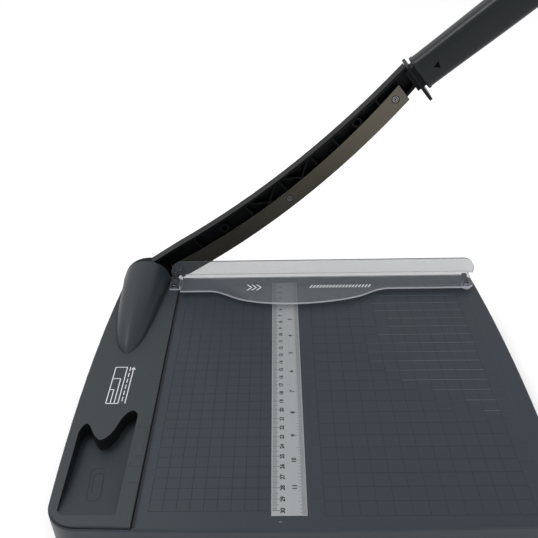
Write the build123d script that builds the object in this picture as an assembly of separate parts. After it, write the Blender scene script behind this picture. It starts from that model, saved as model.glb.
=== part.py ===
"""Guillotine paper cutter for A4 sheets: a moulded base with a steel edge, and a hinged arm with a blade.

Millimetres. X runs along the cut, from the hinge to the handle. Y runs from the user to the cutting edge.
Z is up. The origin is on the surface that the cutter stands on, under the middle of the base.
"""
from build123d import *
import math
import os

# Base
BASE_HALF_X = 195.5
BASE_FAR_HALF_X = 188.0
BASE_FRONT_HALF_X = 190.5
BASE_FRONT_Y = -158.5
BASE_FAR_Y = 156.5
FRONT_BOW = 3.0
SIDE_BOW_Y = -6.0
FRONT_CORNER_R = 24.0
FAR_CORNER_R = 9.0
TABLE_Z = 45.0
DECK_THICK = 3.0
WALL = 3.0
EDGE_ROUND = 1.6
COVER_Z = 4.0
COVER_THICK = 2.0
RIB_THICK = 1.6
RIB_DEPTH = 15.0
RIBS_X = (-60.0, 55.0, 115.0)
RIBS_Y = (-90.0, -20.0, 50.0)
RIB_FIELD = ((-120.0, -150.0), (185.0, 150.0))
POST_R = 4.5
POSTS_X = (-120.0, 0.0, 120.0)
POSTS_Y = (-120.0, 112.0)
FOOT_STOP_X = 178.0
FOOT_STOP_WIDTH = 5.0
FOOT_STOP_DEPTH = 4.0

# Strip on the hinge side
STRIP_X = -126.5
STRIP_RISE = 2.0
STRIP_SEAT = 1.0
PANEL_INSET = 1.3
STRIP_TOP = TABLE_Z + STRIP_RISE
GROOVE_WIDTH = 3.2
GROOVE_DEPTH = 0.8

# Clip tray in the strip
TRAY_LEFT_X = -183.0
TRAY_RIGHT_X = -139.5
TRAY_FRONT_Y = -145.5
TRAY_FAR_Y = -41.5
TRAY_DEPTH = 13.0
TRAY_LIP = 0.3
TRAY_WALL = 1.6
TRAY_CORNER = 4.0
TRAY_SPREAD = 3.5
TRAY_ROOM_Z = 20.0

# Ruler
RULER_LEFT_X = -27.0
RULER_WIDTH = 26.5
RULER_NEAR_Y = -146.0
RULER_FAR_Y = 146.5
RULER_THICK = 1.2
RULER_SEAT = 1.0

# Cutting edge
EDGE_THICK = 2.0
EDGE_HEIGHT = 18.0
EDGE_LEFT_X = -125.5
EDGE_RIGHT_X = 179.0
EDGE_FACE_Y = BASE_FAR_Y + EDGE_THICK
EDGE_SCREWS = 6
EDGE_SCREW_END = 12.0
BLADE_GAP = 0.1

# Hinge
PIVOT_X = -162.0
PIVOT_Z = 33.5
BOLT_R = 5.0
BUSH_R = 8.0
BUSH_CLEARANCE = 0.05
HUB_R = 30.5
ARM_NEAR_Y = 159.0
ARM_FAR_Y = 171.5
REST_ANGLE = 39.3
BOLT_NEAR_Y = 112.0
BOLT_HEAD_R = 10.5
BOLT_HEAD_SINK = 5.0
HEAD_ROOM = 0.5
HEX_KEY_R = 3.5
NUT_R = 9.0
NUT_NEAR_Y = 116.0
NUT_FAR_Y = 124.0
WASHER_R = 9.0
WASHER_THICK = 2.0
FRICTION_R = 24.0
SPRING_WIRE_R = 1.1
SPRING_R = 7.2
SPRING_NEAR_Y = 127.2
SPRING_TURNS = 5
SPRING_PITCH = 4.0
BRACKET_THICK = 3.0
BRACKET_LIP = 16.0
BRACKET_LOW_Z = 8.0
BRACKET_HIGH_Z = 46.0
BRACKET_SCREWS_X = (-180.0, -145.5)
BRACKET_SCREWS_Z = (28.0, 16.0)
OPENING_LEFT_X = -184.0
OPENING_RIGHT_X = -141.0
OPENING_NEAR_Y = 118.0
BRACKET_ROOM_Y = 146.0
SHAFT_ROOM_INSET = (3.0, 3.5)

# Hinge cover
COVER_LENGTH = 124.0
COVER_R = 24.8
COVER_HEIGHT = 24.0
COVER_FAR_Y = 153.5
COVER_WALL = 2.2
COVER_SECTIONS = 5

# Arm, measured from the pivot along the arm (u) and across it (v)
ARM_END_U = 352.2
ARM_WALL = 2.5
ARM_WEB = 2.5
TOP_EDGE = ((60.0, 17.9), (192.0, 8.7), (ARM_END_U, 21.2))
BLADE_LOW = ((36.0, -13.7), (172.0, -23.6), (338.7, -6.7))
BLADE_HIGH = ((37.0, 5.4), (192.0, -6.5), (338.7, 11.1))
BLADE_THICK = 1.8
BLADE_PROUD = 3.4
BLADE_SCREWS = ((40.5, -3.0), (187.7, -14.8), (328.7, 1.7))
CROSS_RIBS_U = (78.0, 146.0, 191.0, 232.0, 260.0, 314.0)
RING_BOSSES = ((112.7, 2.2), (287.7, 6.2))
ARM_BOSS_R = 5.0
RING_HOLE_R = 3.2
ARM_RIB_THICK = 1.6

# Hand guard and handle
GUARD_U = ARM_END_U
GUARD_THICK = 3.0
GUARD_LOW_V = -21.3
GUARD_HIGH_V = 19.7
GUARD_NEAR_Y = 157.0
GUARD_FAR_Y = 187.5
GUARD_CORNER_R = 5.0
HANDLE_U = 358.2
HANDLE_LENGTH = 124.0
HANDLE_HEIGHT = 33.0
HANDLE_WIDTH = 27.0
HANDLE_MID_V = 3.5
HANDLE_NEAR_Y = 157.5
HANDLE_CORNER_R = 10.0
HANDLE_END_R = 7.0
HANDLE_TAPER = 0.8
TANG_LENGTH = 96.0
TANG_LOW_V = -5.3
TANG_HIGH_V = 16.7
TANG_NEAR_Y = 162.0
TANG_FAR_Y = 169.5
CATCH_U = 375.7
CATCH_V = 3.7
CATCH_R = 3.4
CATCH_TURN = -75.0
FIT = 0.2

# Finger guard
SLOT = 4.8
SHEET = 2.0
SHIELD_Y = 154.5
SHIELD_TOP = 68.3
SHIELD_LEFT_X = -136.6
SHIELD_RIGHT_X = 190.5
SHIELD_CORNER_R = 13.0
FLANGE_LEFT_X = -124.0
FLANGE_RIGHT_X = 184.5
FLANGE_LEFT_DEPTH = 32.0
FLANGE_RIGHT_DEPTH = 30.4
FLANGE_WIDE = 55.0
FLANGE_BAY_X = 93.0
FLANGE_CORNER_R = 7.0
FOOT_FRONT_Y = 132.5
RIGHT_POST_R = 5.0

# Fasteners and feet
SCREW_R = 1.5
SCREW_BITE = 0.05
SCREW_FREE = 0.1
HEAD_R = 3.0
HEAD_THICK = 1.8
SLOT_HALF_LENGTH = 2.0
SLOT_HALF_WIDTH = 0.4
CROSS_ARMS = ((SLOT_HALF_LENGTH, SLOT_HALF_WIDTH), (SLOT_HALF_WIDTH, SLOT_HALF_LENGTH))
FOOT_R = 10.0
FOOT_ROUND = 1.2
FOOT_X = 165.0
FOOT_Y = 128.0
FOOT_SHIFT_Y = 16.0
PEG_R = 4.0


def plate_on_table(sketch, low_z, high_z):
    """A sketch in X and Y, given thickness from low_z to high_z."""
    return Pos(0, 0, low_z) * extrude(sketch, high_z - low_z)


def plate_upright(sketch, near_y, far_y):
    """A sketch in X and Z, given thickness from near_y to far_y."""
    plane = Plane((0, far_y, 0), x_dir=(1, 0, 0), z_dir=(0, -1, 0))
    return plane * extrude(sketch, far_y - near_y)


def rod_y(radius, x, z, near_y, far_y):
    """A round rod along Y."""
    return plate_upright(Pos(x, z) * Circle(radius), near_y, far_y)


def rod_z(radius, x, y, low_z, high_z):
    """A round rod along Z."""
    return plate_on_table(Pos(x, y) * Circle(radius), low_z, high_z)


def block(low, high):
    """A box from its lowest corner to its highest."""
    size = [b - a for a, b in zip(low, high)]
    middle = [(a + b) / 2 for a, b in zip(low, high)]
    return Pos(*middle) * Box(*size)


def on_arm(shape):
    """Turns a shape drawn on the level arm up to the arm's rest pose."""
    return Pos(PIVOT_X, 0, PIVOT_Z) * Rot(0, -REST_ANGLE, 0) * shape


def solid_parts(solids):
    """Separate solids kept together in one sub-part."""
    return Compound(children=[s.solid() if len(s.solids()) == 1 else s for s in solids])


def base_outline(inset=0.0):
    """Outline of the base: three gently bowed sides, a straight far side and rounded corners."""
    far_x = BASE_FAR_HALF_X - inset
    front_x = BASE_FRONT_HALF_X - inset
    middle_x = BASE_HALF_X - inset
    far_y = BASE_FAR_Y - inset
    corner_y = BASE_FRONT_Y + FRONT_BOW + inset
    wire = [
        Line((-far_x, far_y), (far_x, far_y)),
        ThreePointArc((far_x, far_y), (middle_x, SIDE_BOW_Y), (front_x, corner_y)),
        ThreePointArc((front_x, corner_y), (0, BASE_FRONT_Y + inset), (-front_x, corner_y)),
        ThreePointArc((-front_x, corner_y), (-middle_x, SIDE_BOW_Y), (-far_x, far_y)),
    ]
    face = make_face(wire)
    front = face.vertices().filter_by(lambda v: v.Y < 0)
    face = fillet(front, FRONT_CORNER_R - inset)
    far = face.vertices().filter_by(lambda v: v.Y > 0 and v.X > 0)
    return fillet(far, FAR_CORNER_R - inset)


def left_of(sketch, x):
    """The part of a sketch on the hinge side of x."""
    return sketch & (Pos(x - 200, 0) * Rectangle(400, 400))


def tray_outline():
    """Outline of the clip tray: straight sides and front, and two rounded lobes at the far end."""
    left_top = (TRAY_LEFT_X - 2.5, -66.0)
    right_top = (TRAY_RIGHT_X - 0.2, -47.5)
    left_front = (TRAY_LEFT_X, TRAY_FRONT_Y + TRAY_CORNER)
    front_left = (TRAY_LEFT_X + TRAY_CORNER, TRAY_FRONT_Y)
    edge = [
        Line(front_left, left_front),
        Line(left_front, left_top),
        Spline(left_top, (-180.0, -57.0), (-173.5, -66.5), (-165.5, -74.5), (-158.5, -68.0),
               (-150.0, -46.5), (-145.8, -42.6), right_top),
        Line(right_top, (TRAY_RIGHT_X, TRAY_FRONT_Y)),
        Line((TRAY_RIGHT_X, TRAY_FRONT_Y), front_left),
    ]
    return make_face(edge)


def tray_scoop(grow):
    """Block whose floor is a scoop: deep at the far end, running up to the surface at the front."""
    front_y = TRAY_FRONT_Y - grow
    far_y = TRAY_FAR_Y + grow
    deep = STRIP_TOP - TRAY_DEPTH - grow
    lip = STRIP_TOP - TRAY_LIP - grow
    profile = make_face([
        Line((front_y, STRIP_TOP), (front_y, lip)),
        ThreePointArc((front_y, lip), ((front_y + far_y) / 2, deep + 1.8), (far_y, deep)),
        Line((far_y, deep), (far_y, STRIP_TOP)),
        Line((far_y, STRIP_TOP), (front_y, STRIP_TOP)),
    ])
    left = TRAY_LEFT_X - TRAY_SPREAD - grow
    side_plane = Plane((left, 0, 0), x_dir=(0, 1, 0), z_dir=(1, 0, 0))
    return side_plane * extrude(profile, TRAY_RIGHT_X + 0.5 + grow - left)


def tray_space():
    """The space inside the tray."""
    return tray_scoop(0.0) & plate_on_table(tray_outline(), 0, STRIP_TOP)


def tray_room():
    """Opening in the table for the tray, kept inside the outer walls."""
    low = (TRAY_LEFT_X - TRAY_SPREAD - TRAY_WALL - 0.3, TRAY_FRONT_Y - 2, TRAY_ROOM_Z)
    high = (TRAY_RIGHT_X + TRAY_WALL + 0.8, TRAY_FAR_Y + 2, STRIP_TOP)
    return block(low, high) & plate_on_table(base_outline(WALL), 0, STRIP_TOP)


def hinge_opening():
    """Opening under the hinge cover for the bolt, the spring and the bracket."""
    top = STRIP_TOP + 1
    left, right = OPENING_LEFT_X, OPENING_RIGHT_X
    bracket_room = block((left, BRACKET_ROOM_Y, 0), (right, BASE_FAR_Y - WALL, top))
    left, right = left + SHAFT_ROOM_INSET[0], right - SHAFT_ROOM_INSET[1]
    return bracket_room + block((left, OPENING_NEAR_Y, 0), (right, BRACKET_ROOM_Y + 1, top))


def edge_screw_places():
    """Places along the cutting edge of the screws that hold it."""
    pitch = (EDGE_RIGHT_X - EDGE_LEFT_X - 2 * EDGE_SCREW_END) / (EDGE_SCREWS - 1)
    return [EDGE_LEFT_X + EDGE_SCREW_END + pitch * i for i in range(EDGE_SCREWS)]


def post_places():
    """Places of the posts that take the bottom cover's screws."""
    return [(x, y) for x in POSTS_X for y in POSTS_Y]


def base_deck():
    """Moulded base: table top, outer walls, ribs and screw posts in one piece, open underneath."""
    outline = base_outline()
    body = plate_on_table(outline, COVER_Z, TABLE_Z)
    top_edges = body.faces().sort_by(Axis.Z)[-1].edges()
    body = fillet(top_edges.filter_by(lambda e: e.center().Y < BASE_FAR_Y - 1), EDGE_ROUND)
    inside = base_outline(WALL)
    ceiling = TABLE_Z - DECK_THICK
    body -= plate_on_table(inside, COVER_Z, ceiling)
    (low_x, low_y), (high_x, high_y) = RIB_FIELD
    ribs = [block((x, low_y, ceiling - RIB_DEPTH), (x + RIB_THICK, high_y, ceiling)) for x in RIBS_X]
    ribs += [block((low_x, y, ceiling - RIB_DEPTH), (high_x, y + RIB_THICK, ceiling)) for y in RIBS_Y]
    posts = [rod_z(POST_R, x, y, COVER_Z + COVER_THICK, ceiling) for x, y in post_places()]
    inner = plate_on_table(inside, COVER_Z, TABLE_Z)
    for piece in ribs + posts:
        body += piece & inner
    seat = left_of(base_outline(PANEL_INSET - 0.3), STRIP_X)
    body -= plate_on_table(seat, TABLE_Z - STRIP_SEAT, TABLE_Z + 1)
    body -= block((STRIP_X, BASE_FRONT_Y + 3, TABLE_Z - GROOVE_DEPTH),
                  (STRIP_X + GROOVE_WIDTH, BASE_FAR_Y, TABLE_Z + 1))
    body -= block((RULER_LEFT_X, RULER_NEAR_Y, TABLE_Z - RULER_SEAT),
                  (RULER_LEFT_X + RULER_WIDTH, RULER_FAR_Y, TABLE_Z + 1))
    body -= hinge_opening() & block((-BASE_HALF_X, 0, ceiling - 1), (0, BASE_FAR_Y, STRIP_TOP + 2))
    body -= tray_room()
    stop_far = SHIELD_Y - FIT
    body += block((FOOT_STOP_X, stop_far - FOOT_STOP_DEPTH, TABLE_Z - 1),
                  (FOOT_STOP_X + FOOT_STOP_WIDTH, stop_far, TABLE_Z + SLOT - 0.3))
    for x, y in post_places():
        body -= rod_z(SCREW_R, x, y, COVER_Z, ceiling - 8)
    for x in edge_screw_places():
        body -= rod_y(SCREW_R, x, TABLE_Z - EDGE_HEIGHT / 2, BASE_FAR_Y - WALL - 1, BASE_FAR_Y)
    body -= rod_y(BOLT_R + 0.3, PIVOT_X, PIVOT_Z, BASE_FAR_Y - WALL - 1, BASE_FAR_Y + 1)
    for x, z in bracket_screw_places():
        body -= rod_y(SCREW_R, x, z, BASE_FAR_Y - WALL - 1, BASE_FAR_Y - 0.8)
    for x, y, z in guard_screw_places():
        body -= rod_z(SCREW_R, x, y, ceiling - 1, TABLE_Z + 1)
    return body


def side_panel():
    """Raised strip on the hinge side, with the clip tray moulded into it."""
    outline = left_of(base_outline(PANEL_INSET), STRIP_X - 0.3)
    panel = plate_on_table(outline, TABLE_Z - STRIP_SEAT, STRIP_TOP)
    rim = panel.faces().sort_by(Axis.Z)[-1].edges()
    panel = fillet(rim, 0.8)
    panel += tray_scoop(TRAY_WALL) & plate_on_table(base_outline(WALL + 0.3), 0, STRIP_TOP)
    panel -= tray_space()
    panel -= hinge_opening()
    for x, y, z in guard_screw_places():
        panel -= rod_z(SCREW_R, x, y, TABLE_Z - 3, STRIP_TOP + 1)
    return panel


def cover_section(distance, shrink):
    """Upright half-ellipse across the hinge cover, at a distance from its nose."""
    share = distance / COVER_LENGTH
    half_width = COVER_R * share ** 0.37 - shrink
    height = COVER_HEIGHT * share ** 0.52 - shrink
    middle = PIVOT_X - 0.4 - 2.6 * (1 - share) ** 0.5
    y = COVER_FAR_Y - COVER_LENGTH + distance
    plane = Plane((middle, y, STRIP_TOP), x_dir=(1, 0, 0), z_dir=(0, -1, 0))
    arch = EllipticalCenterArc((0, 0), half_width, height, start_angle=0, arc_size=180)
    return plane * make_face([arch, Line((-half_width, 0), (half_width, 0))])


def hinge_cover():
    """Bullet-shaped shell over the hinge, open at the far end behind the hub."""
    stations = [COVER_LENGTH * (i / COVER_SECTIONS) ** 2 for i in range(1, COVER_SECTIONS + 1)]
    outside = loft([cover_section(d, 0) for d in stations])
    inside = loft([cover_section(d, COVER_WALL) for d in stations[1:]])
    return outside - inside


def ruler():
    """Aluminium ruler, let into the table."""
    plate = block((RULER_LEFT_X + 0.1, RULER_NEAR_Y + 0.1, TABLE_Z - RULER_SEAT),
                  (RULER_LEFT_X + RULER_WIDTH - 0.1, RULER_FAR_Y - 0.1, TABLE_Z - RULER_SEAT + RULER_THICK))
    top = plate.faces().sort_by(Axis.Z)[-1].edges().filter_by(Axis.Y)
    return chamfer(top, 0.15)


def fixed_blade():
    """Steel strip on the far wall: its top far edge is the lower cutting edge."""
    strip = block((EDGE_LEFT_X, BASE_FAR_Y, TABLE_Z - EDGE_HEIGHT), (EDGE_RIGHT_X, EDGE_FACE_Y, TABLE_Z))
    for x in edge_screw_places():
        strip -= rod_y(SCREW_R + SCREW_FREE, x, TABLE_Z - EDGE_HEIGHT / 2, BASE_FAR_Y - 1, EDGE_FACE_Y + 1)
        strip -= rod_y(HEAD_R + 0.1, x, TABLE_Z - EDGE_HEIGHT / 2, EDGE_FACE_Y - 1.5, EDGE_FACE_Y + 1)
    return strip


def fixed_blade_screws():
    """Low-headed screws, sunk below the face that the moving blade passes."""
    screws = []
    for x in edge_screw_places():
        z = TABLE_Z - EDGE_HEIGHT / 2
        screw = rod_y(SCREW_R - SCREW_BITE, x, z, BASE_FAR_Y - 6, EDGE_FACE_Y - 1.0)
        screw += rod_y(HEAD_R, x, z, EDGE_FACE_Y - 1.5, EDGE_FACE_Y - 0.2)
        for dx, dz in CROSS_ARMS:
            screw -= block((x - dx, EDGE_FACE_Y - 0.8, z - dz), (x + dx, EDGE_FACE_Y, z + dz))
        screws.append(screw)
    return solid_parts(screws)


def flange_outline():
    """Outline of the guard's flat flange: narrow at the ends, wider in a smooth bay over the ruler."""
    far = SHIELD_Y + SHEET
    near_left = far - FLANGE_LEFT_DEPTH
    near_right = far - FLANGE_RIGHT_DEPTH
    wide = far - FLANGE_WIDE
    left, right = FLANGE_LEFT_X, FLANGE_RIGHT_X
    bay_left = (-FLANGE_BAY_X, near_left)
    bay_right = (FLANGE_BAY_X + 2.0, near_right)
    front = Spline(bay_left, (-66.0, near_left - 12.0), (-30.0, wide + 1.0), (2.0, wide),
                   (36.0, wide + 4.0), (68.0, near_right - 11.0), bay_right,
                   tangents=((1, -0.1), (1, 0.1)))
    edge = [
        Line((left, far), (left, near_left)),
        Line((left, near_left), bay_left),
        front,
        Line(bay_right, (right, near_right)),
        Line((right, near_right), (right, far)),
        Line((right, far), (left, far)),
    ]
    face = make_face(edge)
    corner = face.vertices().filter_by(lambda v: v.X > right - 1 and v.Y < near_right + 1)
    return fillet(corner, FLANGE_CORNER_R)


def finger_guard():
    """Clear guard: an upright shield along the cut, a flange over the paper and a foot at each end."""
    low = TABLE_Z + SLOT
    high = low + SHEET
    shield_face = make_face(Polyline((SHIELD_LEFT_X, low), (SHIELD_LEFT_X, SHIELD_TOP),
                                     (SHIELD_RIGHT_X, SHIELD_TOP), (SHIELD_RIGHT_X, low), close=True))
    top_corners = shield_face.vertices().filter_by(lambda v: v.Y > SHIELD_TOP - 1)
    shield_face = fillet(top_corners, SHIELD_CORNER_R)
    guard = plate_upright(shield_face, SHIELD_Y, SHIELD_Y + SHEET)
    guard += plate_on_table(flange_outline(), low, high)
    foot_left = SHIELD_LEFT_X
    foot_right = FLANGE_LEFT_X
    guard += block((foot_left, FOOT_FRONT_Y, STRIP_TOP), (foot_right, SHIELD_Y + SHEET, STRIP_TOP + SHEET))
    guard += block((foot_left, SHIELD_Y, STRIP_TOP), (foot_right, SHIELD_Y + SHEET, high))
    guard += block((foot_right - SHEET, FOOT_FRONT_Y, STRIP_TOP), (foot_right, SHIELD_Y + SHEET, high))
    x, y, z = guard_screw_places()[-1]
    guard += rod_z(RIGHT_POST_R, x, y, TABLE_Z, low)
    for x, y, z in guard_screw_places():
        guard -= rod_z(SCREW_R + SCREW_FREE, x, y, TABLE_Z - 1, z + 1)
    return guard


def guard_screw_places():
    """X, Y and seat height of each screw that holds the finger guard."""
    left_x = (SHIELD_LEFT_X + FLANGE_LEFT_X) / 2 - 1.5
    foot_top = STRIP_TOP + SHEET
    return ((left_x, 138.5, foot_top), (left_x, 148.8, foot_top), (178.5, 135.0, TABLE_Z + SLOT + SHEET))


def guard_screws():
    """Pan-headed screws with a cross slot."""
    screws = []
    for x, y, z in guard_screw_places():
        screw = rod_z(SCREW_R - SCREW_BITE, x, y, TABLE_Z - 8, z + 0.5)
        head = rod_z(HEAD_R, x, y, z, z + HEAD_THICK)
        head = fillet(head.faces().sort_by(Axis.Z)[-1].edges(), 0.8)
        top = z + HEAD_THICK
        for dx, dy in CROSS_ARMS:
            head -= block((x - dx, y - dy, top - 0.9), (x + dx, y + dy, top + 1))
        screws.append(screw + head)
    return solid_parts(screws)


def bottom_cover():
    """Flat cover that closes the base from below."""
    cover = plate_on_table(base_outline(WALL + 0.3), COVER_Z, COVER_Z + COVER_THICK)
    for x, y in post_places():
        cover -= rod_z(SCREW_R + 0.2, x, y, 0, COVER_Z + 9)
        cover -= rod_z(HEAD_R + 0.3, x, y, 0, COVER_Z + 1.0)
    for x, y in foot_places().values():
        cover -= rod_z(PEG_R + 0.1, x, y, 0, COVER_Z + 9)
    return cover


def cover_screws():
    """Screws of the bottom cover."""
    screws = []
    for x, y in post_places():
        screw = rod_z(SCREW_R - SCREW_BITE, x, y, COVER_Z + 0.5, COVER_Z + 14)
        head = rod_z(HEAD_R, x, y, COVER_Z + 0.1, COVER_Z + 1.0)
        head -= block((x - SLOT_HALF_LENGTH, y - SLOT_HALF_WIDTH, 0),
                      (x + SLOT_HALF_LENGTH, y + SLOT_HALF_WIDTH, COVER_Z + 0.5))
        screws.append(screw + head)
    return solid_parts(screws)


def foot_places():
    """Centres of the rubber feet: one near each corner and one under the middle of the table."""
    return {
        "front_left": (-FOOT_X, -FOOT_Y),
        "front_right": (FOOT_X, -FOOT_Y),
        "far_left": (-FOOT_X, FOOT_Y - FOOT_SHIFT_Y),
        "far_right": (FOOT_X, FOOT_Y),
        "middle": (0.0, 0.0),
    }


def foot(x, y):
    """Round rubber foot with a peg that snaps into the bottom cover."""
    pad = rod_z(FOOT_R, x, y, 0, COVER_Z)
    pad = fillet(pad.faces().sort_by(Axis.Z)[0].edges(), FOOT_ROUND)
    pad -= rod_z(PEG_R, x, y, 0, 1.0)
    return pad + rod_z(PEG_R, x, y, COVER_Z - 0.5, COVER_Z + COVER_THICK + 1)


def bracket_screw_places():
    """X and Z of the screws that hold the hinge bracket to the far wall."""
    return [(x, z) for z in BRACKET_SCREWS_Z for x in BRACKET_SCREWS_X]


def hinge_bracket():
    """Steel plate inside the far wall, which carries the pull of the pivot bolt."""
    far = BASE_FAR_Y - WALL
    near = far - BRACKET_THICK
    left = OPENING_LEFT_X + FIT
    right = OPENING_RIGHT_X - FIT
    plate = block((left, near, BRACKET_LOW_Z), (right, far, BRACKET_HIGH_Z))
    lip_top = BRACKET_LOW_Z + BRACKET_THICK
    plate += block((left, near - BRACKET_LIP, BRACKET_LOW_Z), (right, near + 0.5, lip_top))
    plate -= rod_y(BOLT_R + 0.1, PIVOT_X, PIVOT_Z, near - 1, far + 1)
    for x, z in bracket_screw_places():
        plate -= rod_y(SCREW_R + SCREW_FREE, x, z, near - 1, far + 1)
    return plate


def bracket_screws():
    """Screws through the bracket into the far wall, from inside."""
    near = BASE_FAR_Y - WALL - BRACKET_THICK
    screws = []
    for x, z in bracket_screw_places():
        screws.append(rod_y(HEAD_R, x, z, near - HEAD_THICK, near)
                      + rod_y(SCREW_R - SCREW_BITE, x, z, near - 0.5, BASE_FAR_Y - 1.0))
    return solid_parts(screws)


def pivot_bolt():
    """Shouldered bolt that the arm turns on: its low head sits in the hub."""
    head_near = ARM_FAR_Y - BOLT_HEAD_SINK
    bolt = rod_y(BOLT_R, PIVOT_X, PIVOT_Z, BOLT_NEAR_Y, head_near + 1)
    head = rod_y(BOLT_HEAD_R, PIVOT_X, PIVOT_Z, head_near, ARM_FAR_Y - 1.0)
    head = chamfer(head.faces().sort_by(Axis.Y)[-1].edges(), 0.8)
    hexagon = Pos(PIVOT_X, PIVOT_Z) * RegularPolygon(HEX_KEY_R, 6)
    return bolt + head - plate_upright(hexagon, ARM_FAR_Y - 4.0, ARM_FAR_Y)


def pivot_nut():
    """Hexagonal lock nut at the near end of the bolt."""
    outline = Pos(PIVOT_X, PIVOT_Z) * RegularPolygon(NUT_R, 6)
    nut = plate_upright(outline, NUT_NEAR_Y, NUT_FAR_Y)
    return nut - rod_y(BOLT_R + 0.02, PIVOT_X, PIVOT_Z, NUT_NEAR_Y - 1, NUT_FAR_Y + 1)


def ring_y(outer, near_y, far_y):
    """Washer on the bolt."""
    hole = rod_y(BOLT_R + 0.1, PIVOT_X, PIVOT_Z, near_y - 1, far_y + 1)
    return rod_y(outer, PIVOT_X, PIVOT_Z, near_y, far_y) - hole


def pivot_spring():
    """Compression spring that pulls the arm against the cutting edge."""
    path = Helix(SPRING_PITCH, SPRING_PITCH * SPRING_TURNS, SPRING_R)
    section = Plane(path @ 0, z_dir=path % 0) * Circle(SPRING_WIRE_R)
    coil = sweep(section, path)
    return Pos(PIVOT_X, SPRING_NEAR_Y, PIVOT_Z) * Rot(-90, 0, 0) * coil


def arc_through(points):
    """Circular arc through a start, a middle and an end point."""
    return ThreePointArc(*points)


def shifted(points, dv):
    """The same three points, moved across the arm."""
    return tuple((u, v + dv) for u, v in points)


def beam_outline(top_shift=0.0, low_shift=0.0, end_u=ARM_END_U):
    """Outline of the arm's beam, between its hollow top edge and the line above the blade's edge."""
    top = shifted(TOP_EDGE, top_shift)
    low = shifted(BLADE_LOW, BLADE_PROUD + low_shift)
    top_start = (0.0, top[0][1] + 6.0)
    low_start = (0.0, low[0][1] + 2.0)
    low_end = (end_u, low[2][1] + 3.0)
    edge = [
        Line(top_start, top[0]),
        arc_through((top[0], top[1], top[2])),
        Line(top[2], (end_u, low_end[1])),
        Line((end_u, low_end[1]), low[2]),
        arc_through((low[2], low[1], low[0])),
        Line(low[0], low_start),
        Line(low_start, top_start),
    ]
    return make_face(edge)


def blade_outline(grow=0.0):
    """Outline of the curved blade strip."""
    low = shifted(BLADE_LOW, -grow)
    high = shifted(BLADE_HIGH, grow)
    edge = [arc_through(low), Line(low[2], high[2]), arc_through((high[2], high[1], high[0])),
            Line(high[0], low[0])]
    return make_face(edge)


def rib_bar(start, end):
    """Straight rib between two points of the arm, drawn on edge."""
    length = math.dist(start, end)
    angle = math.degrees(math.atan2(end[1] - start[1], end[0] - start[0]))
    middle = ((start[0] + end[0]) / 2, (start[1] + end[1]) / 2)
    return Pos(*middle) * Rot(0, 0, angle) * Rectangle(length, ARM_RIB_THICK)


def beam_ribs():
    """Cross ribs and diagonals that stiffen the open side of the beam."""
    ribs = [rib_bar((u, -40), (u, 40)) for u in CROSS_RIBS_U]
    for left, right in zip(CROSS_RIBS_U[1:3], CROSS_RIBS_U[2:4]):
        ribs.append(rib_bar((left, -20), (right, 10)))
        ribs.append(rib_bar((left, 10), (right, -20)))
    return ribs


def catch_outline(grow):
    """Three-cornered outline of the tang's catch, or of its hole in the grip."""
    return Pos(CATCH_U, CATCH_V) * Rot(0, 0, CATCH_TURN) * RegularPolygon(CATCH_R + grow, 3)


def arm_beam():
    """Moulded arm, level: round hub, channel-shaped beam open to the near side, and the handle's tang."""
    beam = beam_outline() + Circle(HUB_R)
    body = plate_upright(beam, ARM_NEAR_Y, ARM_FAR_Y)
    hollow = beam_outline(-ARM_WALL, ARM_WALL, ARM_END_U - ARM_WALL) - Circle(HUB_R + 1.5)
    body -= plate_upright(hollow, ARM_NEAR_Y - 1, ARM_FAR_Y - ARM_WEB)
    space = plate_upright(hollow, ARM_NEAR_Y + 1.0, ARM_FAR_Y - ARM_WEB + 0.5)
    for rib in beam_ribs():
        body += plate_upright(rib, ARM_NEAR_Y, ARM_FAR_Y) & space
    for u, v in RING_BOSSES + BLADE_SCREWS[1:]:
        body += rod_y(ARM_BOSS_R, u, v, ARM_NEAR_Y + 1.0, ARM_FAR_Y - 1)
    seat_y = EDGE_FACE_Y + BLADE_GAP + BLADE_THICK
    body -= plate_upright(blade_outline(0.3), ARM_NEAR_Y - 1, seat_y)
    for u, v in BLADE_SCREWS:
        body -= rod_y(SCREW_R, u, v, ARM_NEAR_Y - 1, ARM_FAR_Y - 3.0)
    for u, v in RING_BOSSES:
        body -= rod_y(RING_HOLE_R, u, v, ARM_NEAR_Y - 1, ARM_FAR_Y - 4.0)
    body += block((ARM_END_U - 3, ARM_NEAR_Y, TANG_LOW_V), (HANDLE_U, ARM_FAR_Y, TANG_HIGH_V))
    body += block((HANDLE_U - 1, TANG_NEAR_Y, TANG_LOW_V), (HANDLE_U + TANG_LENGTH, TANG_FAR_Y, TANG_HIGH_V))
    body -= rod_y(BUSH_R, 0, 0, ARM_NEAR_Y - 1, ARM_FAR_Y + 1)
    head_seat = ARM_FAR_Y - BOLT_HEAD_SINK - FIT
    body -= rod_y(BOLT_HEAD_R + HEAD_ROOM, 0, 0, head_seat, ARM_FAR_Y + 1)
    body += plate_upright(catch_outline(0.0), HANDLE_NEAR_Y + 1.2, TANG_NEAR_Y + 1)
    return on_arm(body)


def pivot_bush():
    """Bronze bush pressed into the hub, running on the bolt."""
    bush = rod_y(BUSH_R, 0, 0, ARM_NEAR_Y, ARM_FAR_Y - BOLT_HEAD_SINK - FIT)
    return on_arm(bush - rod_y(BOLT_R + BUSH_CLEARANCE, 0, 0, ARM_NEAR_Y - 1, ARM_FAR_Y))


def arm_blade():
    """Curved steel blade: it passes just outside the fixed cutting edge."""
    near = EDGE_FACE_Y + BLADE_GAP
    blade = plate_upright(blade_outline(), near, near + BLADE_THICK)
    for u, v in BLADE_SCREWS:
        blade -= rod_y(SCREW_R + SCREW_FREE, u, v, near - 1, near + 3)
        blade -= rod_y(HEAD_R + 0.2, u, v, near - 1, near + 1.1)
    return on_arm(blade)


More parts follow.
